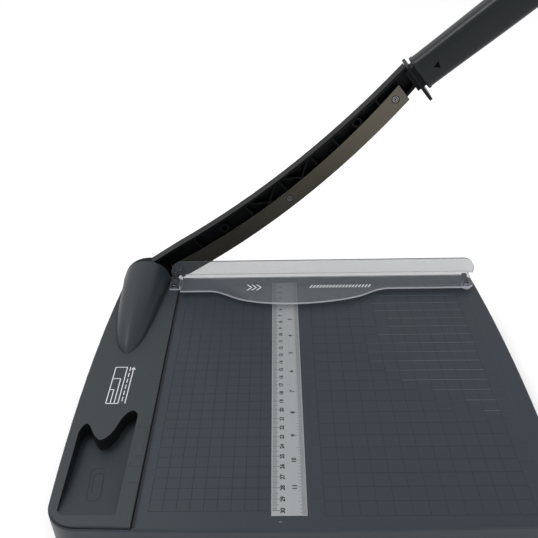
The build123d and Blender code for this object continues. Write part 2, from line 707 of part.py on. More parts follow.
def blade_screws():
    """Screws that hold the blade, their heads sunk into it."""
    near = EDGE_FACE_Y + BLADE_GAP
    screws = []
    for u, v in BLADE_SCREWS:
        screw = rod_y(HEAD_R, u, v, near + 0.15, near + 1.1)
        screw += rod_y(SCREW_R - SCREW_BITE, u, v, near + 1.0, near + 9.0)
        screw -= rod_y(1.0, u, v, near - 1, near + 0.8)
        screws.append(on_arm(screw))
    return solid_parts(screws)


def hand_guard():
    """Flat cross plate that keeps the hand off the blade."""
    width = GUARD_FAR_Y - GUARD_NEAR_Y
    height = GUARD_HIGH_V - GUARD_LOW_V
    middle = (GUARD_NEAR_Y + width / 2, GUARD_LOW_V + height / 2)
    face = Pos(*middle) * RectangleRounded(width, height, GUARD_CORNER_R)
    plane = Plane((GUARD_U + 0.1, 0, 0), x_dir=(0, 1, 0), z_dir=(1, 0, 0))
    plate = plane * extrude(face, GUARD_THICK)
    plate = fillet(plate.edges().filter_by(lambda e: e.length > 12), 0.7)
    plate -= block((GUARD_U - 5, ARM_NEAR_Y - 0.1, TANG_LOW_V - 0.1),
                   (GUARD_U + 9, ARM_FAR_Y + 0.1, TANG_HIGH_V + 0.1))
    return on_arm(plate)


def handle_section(u, grow):
    """Rounded section of the handle at a place along the arm."""
    middle = (u, HANDLE_NEAR_Y + HANDLE_WIDTH / 2, HANDLE_MID_V)
    plane = Plane(middle, x_dir=(0, 1, 0), z_dir=(1, 0, 0))
    size = RectangleRounded(HANDLE_WIDTH + 2 * grow, HANDLE_HEIGHT + 2 * grow, HANDLE_CORNER_R + grow)
    return plane * size


def handle_grip():
    """Hollow grip pushed over the tang and held by the tang's catch."""
    end_u = HANDLE_U + HANDLE_LENGTH
    grip = loft([handle_section(HANDLE_U, 0), handle_section(HANDLE_U + 60, -HANDLE_TAPER / 2),
                 handle_section(end_u, -HANDLE_TAPER)])
    grip = fillet(grip.faces().sort_by(Axis.X)[-1].edges(), HANDLE_END_R)
    lip = loft([handle_section(HANDLE_U, 0), handle_section(HANDLE_U + 2.5, -0.3)])
    grip += lip
    grip -= block((HANDLE_U - 1, TANG_NEAR_Y - FIT, TANG_LOW_V - FIT),
                  (HANDLE_U + TANG_LENGTH + 1, TANG_FAR_Y + FIT, TANG_HIGH_V + FIT))
    grip -= plate_upright(catch_outline(0.4), HANDLE_NEAR_Y - 1, TANG_NEAR_Y)
    return on_arm(grip)


def main():
    """Writes every sub-part to its own file."""
    bracket_near = BASE_FAR_Y - WALL - BRACKET_THICK
    parts = {
        "base_deck": base_deck(),
        "side_panel": side_panel(),
        "hinge_cover": hinge_cover(),
        "bottom_cover": bottom_cover(),
        "cover_screws": cover_screws(),
        "ruler": ruler(),
        "fixed_blade": fixed_blade(),
        "fixed_blade_screws": fixed_blade_screws(),
        "finger_guard": finger_guard(),
        "guard_screws": guard_screws(),
        "hinge_bracket": hinge_bracket(),
        "bracket_screws": bracket_screws(),
        "pivot_bolt": pivot_bolt(),
        "pivot_nut": pivot_nut(),
        "nut_washer": ring_y(WASHER_R, NUT_FAR_Y, NUT_FAR_Y + WASHER_THICK),
        "spring_washer": ring_y(WASHER_R, bracket_near - WASHER_THICK, bracket_near),
        "friction_washer": ring_y(FRICTION_R, BASE_FAR_Y, ARM_NEAR_Y - 0.1),
        "pivot_spring": pivot_spring(),
        "pivot_bush": pivot_bush(),
        "arm_beam": arm_beam(),
        "arm_blade": arm_blade(),
        "blade_screws": blade_screws(),
        "hand_guard": hand_guard(),
        "handle_grip": handle_grip(),
    }
    for side, place in foot_places().items():
        parts["foot_" + side] = foot(*place)
    os.makedirs("parts", exist_ok=True)
    for name, shape in parts.items():
        export_step(shape, "parts/" + name + ".step")


main()
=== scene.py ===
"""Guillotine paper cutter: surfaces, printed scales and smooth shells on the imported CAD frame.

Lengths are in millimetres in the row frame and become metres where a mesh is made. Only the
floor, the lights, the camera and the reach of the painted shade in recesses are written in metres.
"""

import math

import bmesh
import bpy
from mathutils import Matrix, Vector
from mathutils.bvhtree import BVHTree


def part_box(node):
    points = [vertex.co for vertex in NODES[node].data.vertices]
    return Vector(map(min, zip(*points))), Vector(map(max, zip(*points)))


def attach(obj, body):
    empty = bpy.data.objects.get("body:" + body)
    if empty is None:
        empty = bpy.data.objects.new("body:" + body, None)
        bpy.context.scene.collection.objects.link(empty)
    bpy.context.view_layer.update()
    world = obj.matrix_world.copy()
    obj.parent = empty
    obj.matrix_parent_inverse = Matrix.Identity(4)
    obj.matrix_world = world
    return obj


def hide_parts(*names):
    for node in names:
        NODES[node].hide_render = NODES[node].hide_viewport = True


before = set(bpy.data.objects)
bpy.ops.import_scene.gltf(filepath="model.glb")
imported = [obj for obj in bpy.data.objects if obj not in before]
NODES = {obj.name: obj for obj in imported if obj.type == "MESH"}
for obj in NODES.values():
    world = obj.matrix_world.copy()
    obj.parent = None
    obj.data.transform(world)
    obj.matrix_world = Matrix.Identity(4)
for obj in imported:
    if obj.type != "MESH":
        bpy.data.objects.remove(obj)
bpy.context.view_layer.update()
MM = 0.001
CM, HALF_INCH, INCH = 10.0, 12.7, 25.4

# The surfaces that printed and engraved detail lies on.
TABLE_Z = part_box("fixed_blade")[1].z / MM
PANEL_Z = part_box("side_panel")[1].z / MM
RULER_LOW, RULER_HIGH = (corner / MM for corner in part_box("ruler"))
GUARD_TOP_Z = 51.8
SCALE_ZERO_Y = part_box("fixed_blade")[1].y / MM
SCALE_ZERO_X = RULER_LOW.x

# The arm's own frame: u runs along it from the pivot, v across it.
PIVOT_X, PIVOT_Z = -162.0, 33.5
ARM_ANGLE = math.radians(39.3)


# ---------------------------------------------------------------- materials


def tone(red, green, blue):
    """A linear colour from 0-255 display values."""

    def linear(value):
        value /= 255.0
        return value / 12.92 if value <= 0.04045 else ((value + 0.055) / 1.055) ** 2.4

    return (linear(red), linear(green), linear(blue), 1.0)


def shade(colour, factor):
    """The same colour, lighter or darker."""
    return tuple(min(1.0, channel * factor) for channel in colour[:3]) + (1.0,)


# Painted shade: colours darken in recesses, found by ambient occlusion over this reach.
RECESS_SHADE_REACH = 0.006
FINE_SHARE = 0.45  # of the grain in the noise that drives colour and roughness
NOISE_BAND = (0.3, 0.7)  # the part of that noise that carries the whole range
EDGE_BAND = (0.995, 0.80)  # bevelled against true normal: rubbing starts, rubbing is full
SCUFF_BAND, SCUFF_LEAST = (0.35, 0.65), 0.35  # clouds that break the rubbing up
# Painted shade darkens upright faces and fades out towards level ones over this band.
WALL_SHADE_BAND = (0.35, 0.75)  # upward part of the normal: an upright face, a level one


def finish(name, colour, rough, metal=0.0, specular=0.5, mottle=0.08, broad=14.0, grain=900.0,
           relief=0.02, wear=None, wear_gain=0.5, edge=0.35, stretch=(1, 1, 1), turn=0.0,
           alpha=1.0, spread=0.07, recess_shade=0.0, wall_shade=0.0):
    """A procedural finish: two scales of colour variation, grain in roughness and bump, worn edges,
    painted shade in recesses and on upright faces.
    """
    material = bpy.data.materials.new(name)
    material.use_nodes = True
    tree = material.node_tree
    shader = tree.nodes["Principled BSDF"]
    shader.inputs["Metallic"].default_value = metal
    shader.inputs["Specular IOR Level"].default_value = specular
    shader.inputs["Alpha"].default_value = alpha

    def add(kind, **values):
        made = tree.nodes.new("ShaderNode" + kind)
        for key, value in values.items():
            if hasattr(made, key):
                setattr(made, key, value)
            else:
                made.inputs[key.replace("_", " ")].default_value = value
        return made

    def join(source, target):
        tree.links.new(source, target)

    def remap(value, band, low=0.0, high=1.0):
        made = add("MapRange")
        numbers = {"From Min": band[0], "From Max": band[1], "To Min": low, "To Max": high}
        for socket, number in numbers.items():
            made.inputs[socket].default_value = number
        join(value, made.inputs["Value"])
        return made.outputs["Result"]

    place = add("TexCoord")
    mapping = add("Mapping", vector_type="TEXTURE")
    mapping.inputs["Rotation"].default_value = (0.0, turn, 0.0)
    mapping.inputs["Scale"].default_value = stretch
    join(place.outputs["Object"], mapping.inputs["Vector"])
    clouds = add("TexNoise", Scale=broad, Detail=3.0, Roughness=0.6)
    fine = add("TexNoise", Scale=grain, Detail=2.0, Roughness=0.55)
    for texture in (clouds, fine):
        join(mapping.outputs["Vector"], texture.inputs["Vector"])
    blend = add("Mix", data_type="FLOAT", Factor=FINE_SHARE)
    join(clouds.outputs["Fac"], blend.inputs["A"])
    join(fine.outputs["Fac"], blend.inputs["B"])
    ramp = add("ValToRGB")
    low, high = ramp.color_ramp.elements
    low.position, low.color = NOISE_BAND[0], shade(colour, 1.0 - mottle)
    high.position, high.color = NOISE_BAND[1], shade(colour, 1.0 + mottle)
    join(blend.outputs["Result"], ramp.inputs["Fac"])
    painted = ramp.outputs["Color"]

    rounded = add("Bevel", samples=4, Radius=edge * MM) if edge else None
    if wear is not None and rounded:
        around = add("NewGeometry")
        across = add("VectorMath", operation="DOT_PRODUCT")
        join(rounded.outputs["Normal"], across.inputs[0])
        join(around.outputs["Normal"], across.inputs[1])
        worn = remap(across.outputs["Value"], EDGE_BAND, high=wear_gain)
        rub = add("Math", operation="MULTIPLY", use_clamp=True)
        join(worn, rub.inputs[0])
        join(remap(clouds.outputs["Fac"], SCUFF_BAND, low=SCUFF_LEAST), rub.inputs[1])
        over = add("MixRGB", Color2=wear)
        join(rub.outputs["Value"], over.inputs["Fac"])
        join(painted, over.inputs["Color1"])
        painted = over.outputs["Color"]
    # Painted shade: the colour darkens where ambient occlusion finds a recess.
    if recess_shade:
        recess = add("AmbientOcclusion", samples=6, Distance=RECESS_SHADE_REACH)
        recess_shaded = add("MixRGB", Color1=shade(colour, 1.0 - recess_shade))
        join(recess.outputs["AO"], recess_shaded.inputs["Fac"])
        join(painted, recess_shaded.inputs["Color2"])
        painted = recess_shaded.outputs["Color"]
    # Painted shade: upright faces are darkened for how the light falls on them.
    if wall_shade:
        facing = add("NewGeometry")
        height = add("SeparateXYZ")
        join(facing.outputs["True Normal"], height.inputs["Vector"])
        level = remap(height.outputs["Z"], WALL_SHADE_BAND)
        wall_shaded = add("MixRGB", Color1=shade(colour, 1.0 - wall_shade))
        join(level, wall_shaded.inputs["Fac"])
        join(painted, wall_shaded.inputs["Color2"])
        painted = wall_shaded.outputs["Color"]
    join(painted, shader.inputs["Base Color"])

    polish = remap(blend.outputs["Result"], NOISE_BAND,
                   low=max(0.02, rough - spread), high=min(1.0, rough + spread))
    join(polish, shader.inputs["Roughness"])

    bump = add("Bump", Strength=1.0, Distance=relief * MM)
    join(fine.outputs["Fac"], bump.inputs["Height"])
    if rounded:
        join(rounded.outputs["Normal"], bump.inputs["Normal"])
    join(bump.outputs["Normal"], shader.inputs["Normal"])
    return material


ALONG_ARM = -ARM_ANGLE

table_plastic = finish("table_moulding", tone(36, 44, 52), 0.46, specular=0.34, grain=1300.0,
                       relief=0.018, wear=tone(120, 126, 132), wear_gain=0.35)
# The panel takes painted shade in its recesses and on its upright faces.
panel_plastic = finish("panel_moulding", tone(34, 42, 47), 0.50, specular=0.38, grain=1100.0,
                       relief=0.022, wear=tone(120, 126, 130), wear_gain=0.35, recess_shade=0.6, wall_shade=0.8)
hump_plastic = finish("cover_moulding", tone(35, 43, 47), 0.44, specular=0.30, grain=1100.0,
                      relief=0.016, wear=tone(112, 118, 122))
# The arm takes painted shade in its recesses.
arm_plastic = finish("arm_moulding", tone(5, 6, 8), 0.46, specular=0.13, grain=900.0,
                     relief=0.03, wear=tone(84, 88, 92), turn=ALONG_ARM, recess_shade=0.9)
grip_plastic = finish("grip_moulding", tone(11, 18, 22), 0.36, specular=0.28, grain=1000.0,
                      relief=0.02, wear=tone(96, 104, 108), turn=ALONG_ARM)
guard_paint = finish("hand_guard_paint", tone(10, 12, 16), 0.36, specular=0.15, grain=700.0,
                     relief=0.03, wear=tone(110, 112, 116), wear_gain=0.12, turn=ALONG_ARM)
blade_steel = finish("blade_satin_steel", tone(96, 91, 82), 0.36, metal=1.0, mottle=0.14,
                     broad=30.0, grain=1500.0, relief=0.006, wear=tone(180, 176, 168), edge=0.2,
                     stretch=(40, 1, 1), turn=ALONG_ARM, spread=0.09)
edge_steel = finish("cutting_edge_steel", tone(176, 178, 180), 0.28, metal=1.0, mottle=0.1,
                    broad=30.0, grain=1500.0, relief=0.006, wear=tone(226, 228, 230), edge=0.2,
                    stretch=(40, 1, 1))
ruler_metal = finish("ruler_anodised", tone(144, 147, 149), 0.46, metal=0.3, mottle=0.05,
                     broad=20.0, grain=1400.0, relief=0.006, wear=tone(214, 216, 218), edge=0.15,
                     stretch=(1, 30, 1))
screw_steel = finish("screw_zinc", tone(150, 147, 142), 0.30, metal=1.0, mottle=0.12, broad=120.0,
                     grain=1600.0, relief=0.01, wear=tone(214, 212, 208), edge=0.15)
bracket_steel = finish("bracket_steel", tone(126, 128, 130), 0.38, metal=1.0, mottle=0.12,
                       broad=60.0, grain=900.0, relief=0.02, wear=tone(190, 190, 190))
bush_bronze = finish("bush_bronze", tone(168, 128, 78), 0.34, metal=1.0, mottle=0.12, broad=90.0,
                     grain=1400.0, relief=0.01, wear=tone(216, 182, 130), edge=0.2)
washer_plastic = finish("washer_nylon", tone(206, 204, 196), 0.5, mottle=0.05, broad=60.0,
                        grain=900.0, relief=0.02, wear=tone(230, 228, 222))
foot_rubber = finish("foot_rubber", tone(30, 30, 31), 0.72, specular=0.3, mottle=0.16, broad=90.0,
                     grain=1200.0, relief=0.06, wear=tone(70, 70, 70))
clear_sheet = finish("guard_clear_sheet", tone(103, 108, 115), 0.09, specular=0.5, mottle=0.03,
                     broad=6.0, grain=40.0, relief=0.0, edge=None, alpha=0.33, spread=0.01)
# Painted highlight along the clear guard's edges and its bend.
clear_edge_highlight = finish("guard_edge_painted_highlight", tone(214, 216, 226), 0.16, specular=0.6, mottle=0.05,
                    grain=700.0, relief=0.006, edge=0.4, alpha=0.75, spread=0.03)
clear_rim = finish("guard_shield_rim", tone(72, 74, 80), 0.16, specular=0.6, mottle=0.05,
                   grain=700.0, relief=0.006, edge=0.4, alpha=0.92, spread=0.03)
groove_dark = finish("engraved_line", tone(30, 33, 38), 0.6, specular=0.3, mottle=0.3, broad=24.0,
                     edge=None)
# Painted highlight: the level grooves of the inch grid where they catch the light.
groove_highlight = finish("engraved_line_painted_highlight", tone(70, 76, 84), 0.36, specular=0.6, mottle=0.5,
                      broad=16.0, edge=None)
scale_ink = finish("scale_ink", tone(26, 27, 29), 0.55, specular=0.3, mottle=0.2, broad=200.0,
                   edge=None)
print_ink = finish("printed_grey", tone(205, 207, 210), 0.5, specular=0.4, mottle=0.08,
                   broad=160.0, edge=None)
# Dark for engraved marks, and painted shade in the panel seam, the screw drives and around the screw
# heads.
mark_and_shade_dark = finish("engraved_mark_and_painted_shade", tone(30, 33, 36), 0.6, specular=0.3, mottle=0.15, broad=120.0,
                   edge=None)
# Painted shade for the inside of the handle's catch hole.
hole_shade_black = finish("catch_hole_painted_shade", tone(3, 3, 3), 0.7, specular=0.05, mottle=0.2, edge=None)
screw_dark = finish("screw_blackened", tone(92, 94, 98), 0.32, metal=0.9, mottle=0.12, broad=120.0,
                    grain=1600.0, relief=0.01, wear=tone(170, 170, 172), edge=0.15)

NODE_FINISH = {
    "base_deck": table_plastic,
    "bottom_cover": table_plastic,
    "side_panel": panel_plastic,
    "ruler": ruler_metal,
    "fixed_blade": edge_steel,
    "fixed_blade_screws": screw_steel,
    "cover_screws": screw_steel,
    "guard_screws": screw_dark,
    "bracket_screws": screw_steel,
    "hinge_bracket": bracket_steel,
    "pivot_bolt": screw_steel,
    "pivot_nut": screw_steel,
    "nut_washer": screw_steel,
    "spring_washer": screw_steel,
    "friction_washer": washer_plastic,
    "pivot_spring": screw_steel,
    "pivot_bush": bush_bronze,
    "arm_beam": arm_plastic,
    "arm_blade": blade_steel,
    "hand_guard": guard_paint,
    "foot_front_left": foot_rubber,
    "foot_front_right": foot_rubber,
    "foot_far_left": foot_rubber,
    "foot_far_right": foot_rubber,
    "foot_middle": foot_rubber,
}
for node_name, material in NODE_FINISH.items():
    NODES[node_name].material_slots[0].material = material


# ---------------------------------------------------------------- mesh tools


def piece(name, mesh, body, materials, smooth_under=None):
    """A new object from a mesh in metres, riding on a body."""
    made = bpy.data.objects.new(name, mesh)
    bpy.context.scene.collection.objects.link(made)
    for material in materials:
        mesh.materials.append(material)
    if smooth_under is not None:
        mesh.polygons.foreach_set("use_smooth", [True] * len(mesh.polygons))
        mesh.set_sharp_from_angle(angle=math.radians(smooth_under))
    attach(made, body)
    return made


def metres(point):
    """A point in millimetres as one in metres."""
    return tuple(c * MM for c in point)


def mesh_from(name, points, faces, indices=None):
    """A mesh from points in millimetres."""
    mesh = bpy.data.meshes.new(name)
    mesh.from_pydata([metres(p) for p in points], [], faces)
    if indices is not None:
        mesh.polygons.foreach_set("material_index", indices)
    mesh.update()
    return mesh


def tidy_normals(mesh):
    """Merges doubled points and turns every face outwards."""
    work = bmesh.new()
    work.from_mesh(mesh)
    bmesh.ops.remove_doubles(work, verts=work.verts, dist=1e-7)
    bmesh.ops.recalc_face_normals(work, faces=work.faces)
    work.to_mesh(mesh)
    work.free()
    return mesh


def loft(name, rings, cap_end=True):
    """A skin through rings of the same number of points, closed at the start and, if asked, the end."""
    count = len(rings[0])
    points = [p for ring in rings for p in ring]
    faces = []
    for i in range(len(rings) - 1):
        for k in range(count):
            following = (k + 1) % count
            faces.append((i * count + k, i * count + following,
                          (i + 1) * count + following, (i + 1) * count + k))
    faces.append(tuple(range(count))[::-1])
    if cap_end:
        faces.append(tuple(range((len(rings) - 1) * count, len(rings) * count)))
    return tidy_normals(mesh_from(name, points, faces))


BOX_CORNERS = [(x, y, z) for z in (0, 1) for x, y in ((0, 0), (1, 0), (1, 1), (0, 1))]
BOX_SIDES = ((0, 3, 2, 1), (4, 5, 6, 7), (0, 1, 5, 4), (1, 2, 6, 5), (2, 3, 7, 6), (3, 0, 4, 7))


def mesh_of_all(name, solids):
    """One mesh from several (points, faces)."""
    points, faces = [], []
    for more, sides in solids:
        faces += [tuple(len(points) + i for i in side) for side in sides]
        points += more
    return mesh_from(name, points, faces)


def bars(name, boxes):
    """Thin blocks, each ((x0, y0, z0), (x1, y1, z1)), as one mesh."""
    return mesh_of_all(name, [([tuple(box[c[axis]][axis] for axis in range(3))
                                for c in BOX_CORNERS], BOX_SIDES) for box in boxes])


FIGURE_SHARE = 0.72  # a figure's height as a share of the font size


def numerals(name, labels, lift, bold=0.0):
    """Figures as flat printed shapes: each label is (text, x, y, z, turn in degrees, height)."""
    work = bmesh.new()
    for text, x, y, z, turn, height in labels:
        curve = bpy.data.curves.new(name + "_glyphs", "FONT")
        curve.body = text
        curve.size = height / FIGURE_SHARE * MM
        curve.extrude = lift * MM
        curve.offset = bold * MM
        curve.align_x = "CENTER"
        curve.align_y = "CENTER"
        curve.resolution_u = 3
        writer = bpy.data.objects.new(name + "_glyphs", curve)
        bpy.context.scene.collection.objects.link(writer)
        bpy.context.view_layer.update()
        shaped = writer.evaluated_get(bpy.context.evaluated_depsgraph_get())
        flat = bpy.data.meshes.new_from_object(shaped)
        turned = Matrix.Rotation(math.radians(turn), 4, "Z")
        flat.transform(Matrix.Translation(Vector((x, y, z)) * MM) @ turned)
        work.from_mesh(flat)
        bpy.data.objects.remove(writer)
        bpy.data.meshes.remove(flat)
    mesh = bpy.data.meshes.new(name)
    work.to_mesh(mesh)
    work.free()
    return mesh


# ---------------------------------------------------------------- engraved grids on the table

SKIN_RISE, SKIN_TUCK, SKIN_DEPTH, SKIN_RIM = 0.12, 0.02, 0.3, 0.4
GROOVE_SINK, GROOVE_HALF = 0.11, 0.24


def groove_stations(low, high, lines, reach):
    """Coordinates across a grooved skin: each with 1 in a groove, 0 beside it and -1 at the rim."""
    stations = [(low, -1.0), (low + SKIN_RIM, 0.0)]
    for line in sorted(lines):
        stations += [(line - reach, 0.0), (line, 1.0), (line + reach, 0.0)]
    stations += [(high - SKIN_RIM, 0.0), (high, -1.0)]
    return stations


BRIGHT_WAVE, BRIGHT_TURN = 16.0, 1.9
BRIGHT_FADE_Y = 25.0


def bright_start(bright_x, row, y):
    """Where a level groove starts to take the painted highlight: uneven, and further right near the
    user.
    """
    return bright_x + BRIGHT_WAVE * math.sin(BRIGHT_TURN * row) + max(0.0, BRIGHT_FADE_Y - y)


def grooved_skin(name, area, upright, level, upright_span, level_span, bright_x=None):
    """A table surface with a square grid cut into it, sunk into the deck below."""
    (x0, y0), (x1, y1) = area
    columns = groove_stations(x0, x1, upright, GROOVE_HALF)
    rows = groove_stations(y0, y1, level, GROOVE_HALF)
    points, cut_x, cut_y = [], [], []
    for y, row in rows:
        for x, column in columns:
            in_x = column > 0.5 and upright_span[0] <= y <= upright_span[1]
            in_y = row > 0.5 and level_span[0] <= x <= level_span[1]
            if column < 0 or row < 0:
                z = TABLE_Z - SKIN_TUCK
            else:
                z = TABLE_Z + SKIN_RISE - (GROOVE_SINK if in_x or in_y else 0.0)
            points.append((x, y, z))
            cut_x.append(in_x)
            cut_y.append(in_y)
    wide = len(columns)
    faces, indices = [], []
    for j in range(len(rows) - 1):
        for i in range(wide - 1):
            quad = (j * wide + i, j * wide + i + 1, (j + 1) * wide + i + 1, (j + 1) * wide + i)
            faces.append(quad)
            in_y = sum(cut_y[k] for k in quad) >= 2
            in_x = sum(cut_x[k] for k in quad) >= 2
            # Level grooves past the start of the painted highlight take the bright material.
            bright = False
            if in_y and bright_x is not None:
                bright = points[quad[0]][0] >= bright_start(bright_x, j, rows[j][0])
            indices.append(2 if bright else (1 if in_x or in_y else 0))
    rim = list(range(wide))
    rim += [j * wide + wide - 1 for j in range(1, len(rows))]
    rim += [(len(rows) - 1) * wide + i for i in range(wide - 2, -1, -1)]
    rim += [j * wide for j in range(len(rows) - 2, 0, -1)]
    below = len(points)
    points += [(points[k][0], points[k][1], TABLE_Z - SKIN_DEPTH) for k in rim]
    for n, k in enumerate(rim):
        following = (n + 1) % len(rim)
        faces.append((k, below + n, below + following, rim[following]))
        indices.append(0)
    faces.append(tuple(range(below, below + len(rim)))[::-1])
    indices.append(0)
    return mesh_from(name, points, faces, indices)


def from_zero(distance):
    """Row Y of a distance, in centimetres, from the cutting edge."""
    return SCALE_ZERO_Y - CM * distance


CM_AREA, CM_SHIFT = ((-121.5, -143.5), (-28.5, 150.0)), 0.6
INCH_AREA, INCH_START_X, INCH_END_X = ((1.0, -149.5), (178.5, 150.0)), 12.17, 176.0
GRID_FAR_Y, LINE_OVERRUN = 149.0, 0.3
BRIGHT_COLUMN = 4

left_upright = [SCALE_ZERO_X - CM * k + CM_SHIFT for k in range(1, 10)]
left_level = [from_zero(k) for k in range(3, 31)]
piece("grid_centimetres",
      grooved_skin("grid_centimetres", CM_AREA, left_upright, left_level,
                   (left_level[-1] - LINE_OVERRUN, GRID_FAR_Y),
                   (left_upright[-1] - LINE_OVERRUN, SCALE_ZERO_X)),
      "base", [table_plastic, groove_dark])
right_upright = [INCH_START_X + HALF_INCH * k for k in range(13)]
right_level = [SCALE_ZERO_Y - HALF_INCH * n for n in range(3, 25)]
piece("grid_half_inches",
      grooved_skin("grid_half_inches", INCH_AREA, right_upright, right_level,
                   (right_level[-1] - LINE_OVERRUN, GRID_FAR_Y),
                   (right_upright[0] - LINE_OVERRUN, INCH_END_X), right_upright[BRIGHT_COLUMN]),
      "base", [table_plastic, groove_dark, groove_highlight])


# ---------------------------------------------------------------- ruler scales

RULER_TOP = RULER_HIGH.z
INK_RISE, INK_SINK = 0.03, 0.05
RULER_END = 0.4  # no graduation lies closer to the ruler's ends
CM_EDGE_X, INCH_EDGE_X = RULER_LOW.x + 0.8, RULER_HIGH.x - 0.5
FIGURE_INSET, FIGURE_BOLD, CM_FIGURE, INCH_FIGURE = 8.6, 0.2, 3.3, 3.5
# Each row: every so many divisions, a graduation of this length and half width.
MILLIMETRES = ((10, 5.8, 0.2), (5, 4.6, 0.16), (1, 3.5, 0.12))
INCH_PARTS = 32
THIRTYSECONDS = ((32, 6.4, 0.1), (16, 5.4, 0.1), (4, 4.6, 0.1), (1, 3.4, 0.1))


def graduations(sizes, count, place, span):
    """Blocks for divisions 1 to count: place gives a division's Y, span the ends of its length."""
    blocks = []
    for k in range(1, count + 1):
        reach, half = next(size for every, *size in sizes if k % every == 0)
        y = place(k)
        if RULER_LOW.y + RULER_END < y < RULER_HIGH.y - RULER_END:
            near, far = span(reach)
            blocks.append(((near, y - half, RULER_TOP - INK_SINK),
                           (far, y + half, RULER_TOP + INK_RISE)))
    return blocks


ticks = graduations(MILLIMETRES, 300, lambda k: from_zero(k / 10.0),
                    lambda reach: (CM_EDGE_X, CM_EDGE_X + reach))
ticks += graduations(THIRTYSECONDS, 12 * INCH_PARTS, lambda k: SCALE_ZERO_Y - INCH * k / INCH_PARTS,
                     lambda reach: (INCH_EDGE_X - reach, INCH_EDGE_X))
piece("ruler_graduations", bars("ruler_graduations", ticks), "base", [scale_ink])
figures = [(str(k), RULER_LOW.x + FIGURE_INSET, from_zero(k), RULER_TOP, 90.0, CM_FIGURE)
           for k in range(2, 31)]
figures += [(str(k), RULER_HIGH.x - FIGURE_INSET, SCALE_ZERO_Y - INCH * k, RULER_TOP, 90.0, INCH_FIGURE)
            for k in range(1, 12)]
piece("ruler_figures", numerals("ruler_figures", figures, INK_RISE, FIGURE_BOLD), "base",
      [scale_ink])


# ---------------------------------------------------------------- side panel marks

bpy.context.view_layer.update()
panel_tree = BVHTree.FromObject(NODES["side_panel"], bpy.context.evaluated_depsgraph_get())


RAY_START_Z = 80.0
STROKE_STEP, STROKE_DEPTH = 0.8, 0.3


def panel_height(x, y):
    """Height of the side panel's surface below a point, in millimetres."""
    hit = panel_tree.ray_cast(Vector((x, y, RAY_START_Z)) * MM, Vector((0, 0, -1)))[0]
    return hit.z / MM if hit else PANEL_Z


def stroke(path, width, lift=0.05):
    """A ribbon laid on the side panel along a path, as points and faces in millimetres."""
    dense = []
    for start, end in zip(path, path[1:]):
        steps = max(1, int(math.dist(start, end) / STROKE_STEP))
        dense += [tuple(s + (e - s) * i / steps for s, e in zip(start, end)) for i in range(steps)]
    dense.append(path[-1])
    points, faces = [], []
    for n, (x, y) in enumerate(dense):
        before, after = dense[max(0, n - 1)], dense[min(len(dense) - 1, n + 1)]
        run = math.dist(before, after) or 1.0
        side = ((before[1] - after[1]) / run * width / 2, (after[0] - before[0]) / run * width / 2)
        for sign in (1, -1):
            px, py = x + sign * side[0], y + sign * side[1]
            top = panel_height(px, py) + lift
            points += [(px, py, top), (px, py, top - STROKE_DEPTH)]
        if n:
            a, b = 4 * (n - 1), 4 * n
            faces += [(a, b, b + 2, a + 2), (a + 1, a + 3, b + 3, b + 1),
                      (a, a + 1, b + 1, b), (a + 2, b + 2, b + 3, a + 3)]
    last = 4 * (len(dense) - 1)
    faces += [(0, 2, 3, 1), (last, last + 1, last + 3, last + 2)]
    return points, faces


def strokes(name, paths, width, lift=0.05):
    """Several ribbons as one mesh."""
    return tidy_normals(mesh_of_all(name, [stroke(path, width, lift) for path in paths]))


def arc(x, y, radius, start, end, steps=10):
    """Points along an arc, angles in degrees."""
    return [(x + radius * math.cos(math.radians(start + (end - start) * i / steps)),
             y + radius * math.sin(math.radians(start + (end - start) * i / steps)))
            for i in range(steps + 1)]


def leaned(path, x, y, angle):
    """A path turned about its origin and moved to (x, y)."""
    c, s = math.cos(math.radians(angle)), math.sin(math.radians(angle))
    return [(x + px * c - py * s, y + px * s + py * c) for px, py in path]


def clip_outline():
    """The bent wire of a paper clip, standing along Y about its own middle."""
    path = [(-2.9, -7.0), (-2.9, 9.5)]
    path += arc(0.9, 9.5, 3.8, 180, 0)
    path += [(4.7, -12.0)]
    path += arc(-0.5, -12.0, 5.2, 0, -180)
    path += [(-5.7, 14.0)]
    path += arc(-0.4, 14.0, 5.3, 180, 20)
    return path


CLIP_X, CLIP_Y, CLIP_LEAN, CLIP_WIRE = -161.8, -113.0, 7.0, 0.7
clip_path = leaned(clip_outline(), CLIP_X, CLIP_Y, CLIP_LEAN)
piece("tray_clip_sign", strokes("tray_clip_sign", [clip_path], CLIP_WIRE), "base",
      [mark_and_shade_dark])

STRIP_EDGE_X = -127.2
SIZE_TICKS = ((34.9, 6.0), (-0.5, 6.0), (-61.5, 13.0), (-91.5, 8.0), (-101.5, 13.0), (-117.0, 8.0))
FINE_TICKS_Y, FINE_PITCH, FINE_COUNT, FINE_REACH = -64.5, 2.0, 12, 3.0
SIZE_TICK_GAP, FINE_TICK_GAP, TICK_WIDTH = 0.6, 0.8, 0.35
SIZE_FIGURES = (("6", -135.5, 36.8), ("5", -135.5, 1.4), ("4", -137.0, -59.4), ("3", -137.0, -99.4))
SIZE_FIGURE_HEIGHT, PRINT_LIFT = 2.2, 0.04

panel_ticks = [[(STRIP_EDGE_X - reach, y), (STRIP_EDGE_X - SIZE_TICK_GAP, y)] for y, reach in SIZE_TICKS]
for k in range(FINE_COUNT):
    y = FINE_TICKS_Y - FINE_PITCH * k
    panel_ticks.append([(STRIP_EDGE_X - FINE_REACH, y), (STRIP_EDGE_X - FINE_TICK_GAP, y)])
piece("panel_size_ticks", strokes("panel_size_ticks", panel_ticks, TICK_WIDTH), "base",
      [mark_and_shade_dark])
size_labels = [(text, x, y, PANEL_Z, 0.0, SIZE_FIGURE_HEIGHT) for text, x, y in SIZE_FIGURES]
piece("panel_size_figures", numerals("panel_size_figures", size_labels, PRINT_LIFT), "base",
      [mark_and_shade_dark])

